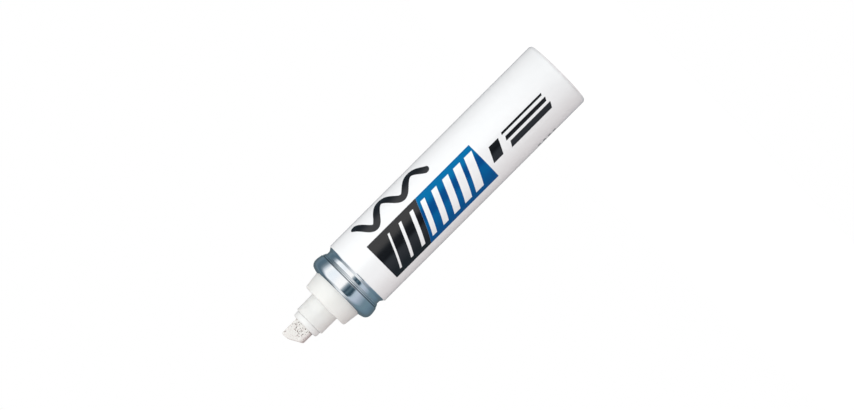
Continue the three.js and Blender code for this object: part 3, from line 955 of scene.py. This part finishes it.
def valve_stem(material):
    bm = turned([
        (0, TAIL_END, 0),
        (TAIL_RADIUS, TAIL_END, 0.4),
        (TAIL_RADIUS, POPPET_BOTTOM, 0.1),
        (POPPET_RADIUS, POPPET_BOTTOM, 0.2),
        (POPPET_RADIUS, POPPET_TOP, 0.4),
        (ROD_RADIUS, POPPET_TOP, 0.3),
        (ROD_RADIUS, ROD_TOP, 0.4),
        (0, ROD_TOP, 0),
    ], steps=72, closed=False)
    finished("stem", bm, material, "stem", "valve_plastic", "valve_stem")


def valve_cap(material):
    plug = VALVE_BORE - PRESS_GAP
    guide = TAIL_RADIUS + SLIDE_GAP
    bm = turned([
        (guide, CAP_BOTTOM, 0.1),
        (VALVE_RADIUS, CAP_BOTTOM, 0.3),
        (VALVE_RADIUS, CAP_FLANGE_TOP, 0.05),
        (plug, CAP_FLANGE_TOP, 0),
        (plug, CAP_TOP, 0.3),
        (guide, CAP_TOP, 0.1),
    ], steps=72)
    finished("valve_end", bm, material, "barrel", "valve_plastic", "valve_cap")


def valve_spring(material):
    """Round wire in open turns, with a closed turn at each end, made at its length with the valve shut."""
    low = CAP_TOP + SEAT_GAP + WIRE_RADIUS
    high = POPPET_BOTTOM - SEAT_GAP - WIRE_RADIUS
    open_pitch = (high - low - 2 * CLOSED_PITCH) / OPEN_TURNS
    bm = bmesh.new()
    start = Matrix.Translation(Vector((COIL_RADIUS, 0, low)) * MM) @ Matrix.Rotation(math.pi / 2, 4, "X")
    bmesh.ops.create_circle(bm, segments=12, radius=WIRE_RADIUS * MM, matrix=start)
    bmesh.ops.contextual_create(bm, geom=bm.edges[:])
    leading = bm.edges[:]
    for pitch in (CLOSED_PITCH, *[open_pitch] * OPEN_TURNS, CLOSED_PITCH):
        swept = bmesh.ops.spin(bm, geom=leading, cent=(0, 0, 0), axis=Z, angle=2 * math.pi,
                               dvec=Z * pitch / COIL_STEPS * MM, steps=COIL_STEPS)
        leading = only(bmesh.types.BMEdge, swept["geom_last"])
    bmesh.ops.contextual_create(bm, geom=leading)
    spring = finished("spring", bm, material, "barrel", "spring_steel", "valve_spring")
    room = POPPET_BOTTOM - CAP_TOP
    (room - PRESS_DEPTH) / room
    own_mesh(spring)


def mixing_ball(number, side, material):
    bm = bmesh.new()
    place = Matrix.Translation(Vector((side * BALL_PLACE, 0, BALL_HEIGHT)) * MM)
    bmesh.ops.create_uvsphere(bm, u_segments=72, v_segments=36, radius=BALL_RADIUS * MM, matrix=place)
    finished(f"ball_{number}", bm, material, f"ball_{number}", "ball_steel", f"mixing_ball_{number}")


# Studio

ROOM_WHITE = (1, 1, 1)
AMBIENT = (1.0, 0.925, 0.92)
AMBIENT_STRENGTH = 0.79
SOFTBOX = (0.88, 0.975, 0.985)
SOFTBOX_STRENGTH = 3.3
SOFTBOX_ELEVATIONS = (-9, 37)  # in degrees, seen from the marker at eye level
SOFTBOX_AZIMUTHS = (-48, -5)
FLOOR_RADIUS = 300
FLOOR_OPENING = CAN_RADIUS - 0.2
FLOOR_GREY = 0.8
FLOOR_SHADOW_GREY, FLOOR_GLOW = 0.28, 0.82
SURROUND_RADIUS = 900
EYE_LEVEL = 85  # near the ring's height, and the studio is laid out from it
CARDS_BOTTOM = 0.2

# Cards round the marker, by their azimuth in degrees from the printed side
CARDS_LEVEL = (
    (-180, (0.10, 0.145, 0.17)), (-149, (0.10, 0.145, 0.17)), (-134, (0.133, 0.20, 0.251)),
    (-117, (0.09, 0.15, 0.20)), (-104, (0.105, 0.16, 0.205)), (-93, (0.22, 0.28, 0.33)),
    (-83, (0.60, 0.66, 0.73)), (-73, (1.0, 1.02, 1.04)), (-55, (0.91, 0.97, 1.02)),
    (-39, (0.95, 0.99, 1.04)), (-24, (1.06, 1.06, 1.06)), (-5, (1.04, 1.04, 1.04)),
    (1, (0.34, 0.41, 0.45)), (5, (0.17, 0.23, 0.28)), (9, (0.065, 0.105, 0.14)),
    (13, (0.03, 0.06, 0.085)), (17, (0.10, 0.155, 0.195)), (21, (0.06, 0.11, 0.145)),
    (25, (0.03, 0.06, 0.085)), (31, (0.045, 0.085, 0.115)), (36, (0.44, 0.54, 0.63)),
    (45, (0.47, 0.55, 0.64)), (53, (0.442, 0.515, 0.614)), (61, (0.357, 0.426, 0.515)),
    (70, (0.276, 0.361, 0.437)), (80, (0.17, 0.251, 0.308)), (95, (0.157, 0.247, 0.30)),
    (113, (0.138, 0.215, 0.276)), (128, (0.116, 0.183, 0.235)), (149, (0.103, 0.145, 0.17)),
    (180, (0.10, 0.145, 0.17)),
)
CARDS_ABOVE = (
    (-180, (0.10, 0.13, 0.15)), (-125, (0.06, 0.085, 0.105)), (-105, (0.16, 0.20, 0.23)),
    (-90, (0.27, 0.32, 0.36)), (-76, (0.36, 0.41, 0.44)), (-55, (0.50, 0.54, 0.58)),
    (-30, (0.73, 0.77, 0.80)), (-8, (0.78, 0.81, 0.84)), (2, (0.88, 0.91, 0.93)),
    (32, (0.71, 0.75, 0.79)), (48, (0.38, 0.43, 0.48)), (62, (0.33, 0.38, 0.43)),
    (80, (0.28, 0.33, 0.38)), (97, (0.16, 0.20, 0.24)), (115, (0.22, 0.27, 0.31)),
    (135, (0.18, 0.23, 0.27)), (180, (0.10, 0.13, 0.15)),
)
CARDS_BELOW = (
    (-180, (0.12, 0.17, 0.21)), (-94, (0.10, 0.14, 0.17)), (-82, (0.19, 0.235, 0.27)),
    (-68, (0.35, 0.40, 0.43)), (-50, (0.47, 0.52, 0.55)), (-33, (0.62, 0.66, 0.69)),
    (-8, (0.78, 0.81, 0.84)), (8, (0.72, 0.76, 0.79)), (22, (0.46, 0.51, 0.55)),
    (37, (0.32, 0.37, 0.42)), (50, (0.41, 0.47, 0.53)), (70, (0.29, 0.35, 0.40)),
    (95, (0.17, 0.23, 0.28)), (180, (0.12, 0.17, 0.21)),
)
CARD_OVERHEAD = (0.83, 0.87, 0.90)

# Elevations in degrees over which the cards below, level, above and overhead go over into each other
LEVEL_SEAM = (-34, -22)
ABOVE_SEAM = (46, 58)
OVERHEAD_SEAM = (70, 84)


def seen_directly(finish):
    """1 for what the camera sees, straight or in gloss or glass."""
    rays = finish.node("LightPath").socket.node.outputs
    camera, glossy, clear = (Signal(finish, rays[n]) for n in
                             ("Is Camera Ray", "Is Glossy Ray", "Is Transmission Ray"))
    return camera.at_least(glossy).at_least(clear)


def studio_world():
    """White behind the marker, and a softer light on its surfaces."""
    world = bpy.data.worlds.new("studio")
    bpy.context.scene.world = world
    world.use_nodes = True
    room = Finish("studio", world.node_tree)
    ambient = room.node("Background", sockets={"Color": room.colour(AMBIENT), "Strength": AMBIENT_STRENGTH})
    backdrop = room.node("Background", sockets={"Color": room.colour(ROOM_WHITE), "Strength": 1.0})
    room.node("OutputWorld", sockets={"Surface": room.mixed(seen_directly(room), ambient, backdrop)})


def staged(name, bm, material, hidden_from=()):
    """A thing of the studio, which some kinds of rays can be made to pass."""
    thing = shaped(name, bm, material)
    for rays in hidden_from:
        setattr(thing, "visible_" + rays, False)


def floor_disc():
    """A round white floor that keeps the marker's shadow, and that can be looked through from below.
    It is open under the marker, so that light gets to the underside."""
    bm = turned([(FLOOR_OPENING, 0, 0), (FLOOR_RADIUS, 0, 0)], steps=96, closed=False)
    finish = Finish("floor")
    white = finish.node("AddShader", sockets={
        0: finish.matt(FLOOR_SHADOW_GREY), 1: finish.glow(ROOM_WHITE, FLOOR_GLOW)})
    top = finish.mixed(seen_directly(finish), finish.matt(FLOOR_GREY), white)
    below = finish.node("NewGeometry", output="Backfacing")
    clear = finish.node("BsdfTransparent")
    staged("floor", bm, finish.closed(finish.mixed(below, top, clear)))


def softbox():
    """The lamp: a curved panel to the front left of the marker, as it stands, and a little above it."""
    heights = [EYE_LEVEL + SURROUND_RADIUS * math.tan(math.radians(e)) for e in SOFTBOX_ELEVATIONS]
    start, end = (math.radians(a) for a in SOFTBOX_AZIMUTHS)
    bm = bmesh.new()
    foot = Vector((-math.sin(start), -math.cos(start), 0)) * SURROUND_RADIUS
    ends = [bm.verts.new((foot + Z * height) * MM) for height in heights]
    edge = bm.edges.new(ends)
    bmesh.ops.spin(bm, geom=[*ends, edge], cent=(0, 0, 0), axis=Z, angle=start - end, steps=24)
    finish = Finish("softbox")
    staged("softbox", bm, finish.closed(finish.glow(SOFTBOX, SOFTBOX_STRENGTH)),
           ("camera", "glossy", "transmission", "shadow"))


def reflecting_cards():
    """A dome of graded cards round the marker and over the floor, which show in its gloss alone."""
    bm = bmesh.new()
    centre = Matrix.Translation(Z * EYE_LEVEL * MM)
    bmesh.ops.create_uvsphere(bm, u_segments=64, v_segments=32, radius=SURROUND_RADIUS * MM,
                              matrix=centre)
    cut = bmesh.ops.bisect_plane(bm, geom=bm.verts[:] + bm.edges[:] + bm.faces[:],
                                 plane_co=Z * CARDS_BOTTOM * MM, plane_no=Z, clear_inner=True)
    bmesh.ops.contextual_create(bm, geom=only(bmesh.types.BMEdge, cut["geom_cut"]))
    finish = Finish("reflecting_cards")
    x, y, z = finish.coordinates()
    turn = (-x).angle_over(-y) / (2 * math.pi) + 0.5
    rise = (z - EYE_LEVEL).angle_over(x.distance(y)) * (180 / math.pi)

    def round_about(cards):
        stops = [(angle / 360 + 0.5, (*colour, 1)) for angle, colour in cards]
        return finish.node("ValToRGB", {"stops": stops}, {"Fac": turn})

    def above(seam):
        return finish.node("MapRange", {"interpolation_type": "SMOOTHSTEP"}, {
            "Value": rise, "From Min": seam[0], "From Max": seam[1]})

    colour = finish.blend(above(LEVEL_SEAM), round_about(CARDS_BELOW), round_about(CARDS_LEVEL))
    colour = finish.blend(above(ABOVE_SEAM), colour, round_about(CARDS_ABOVE))
    colour = finish.blend(above(OVERHEAD_SEAM), colour, CARD_OVERHEAD)
    staged("reflecting_cards", bm, finish.closed(finish.glow(colour)),
           ("camera", "diffuse", "transmission", "shadow"))


bpy.context.scene.view_settings.view_transform = "Standard"
photo_camera()
studio_world()
floor_disc()
softbox()
reflecting_cards()

barrel_can(white_lacquer())
crimp_ring(bare_aluminium())
nib_holder(moulded("white_plastic", WHITE_PLASTIC, roughness=0.33,
                   Subsurface_Weight=0.3, Subsurface_Radius=(1, 0.95, 0.9), Subsurface_Scale=0.0025))
nib_collar(moulded("pale_sleeve", PALE_SLEEVE, roughness=0.3))
chisel_nib(nib_felt())

rubber = moulded("black_rubber", BLACK_RUBBER, roughness=0.55, relief=0.012)
acetal = moulded("valve_plastic", ACETAL, roughness=0.35)
crimp_gasket(rubber)
valve_body(acetal)
valve_seal(rubber)
valve_stem(acetal)
valve_cap(acetal)
valve_spring(drawn_wire())
steel = polished_steel()
mixing_ball(1, 1, steel)
mixing_ball(2, -1, steel)
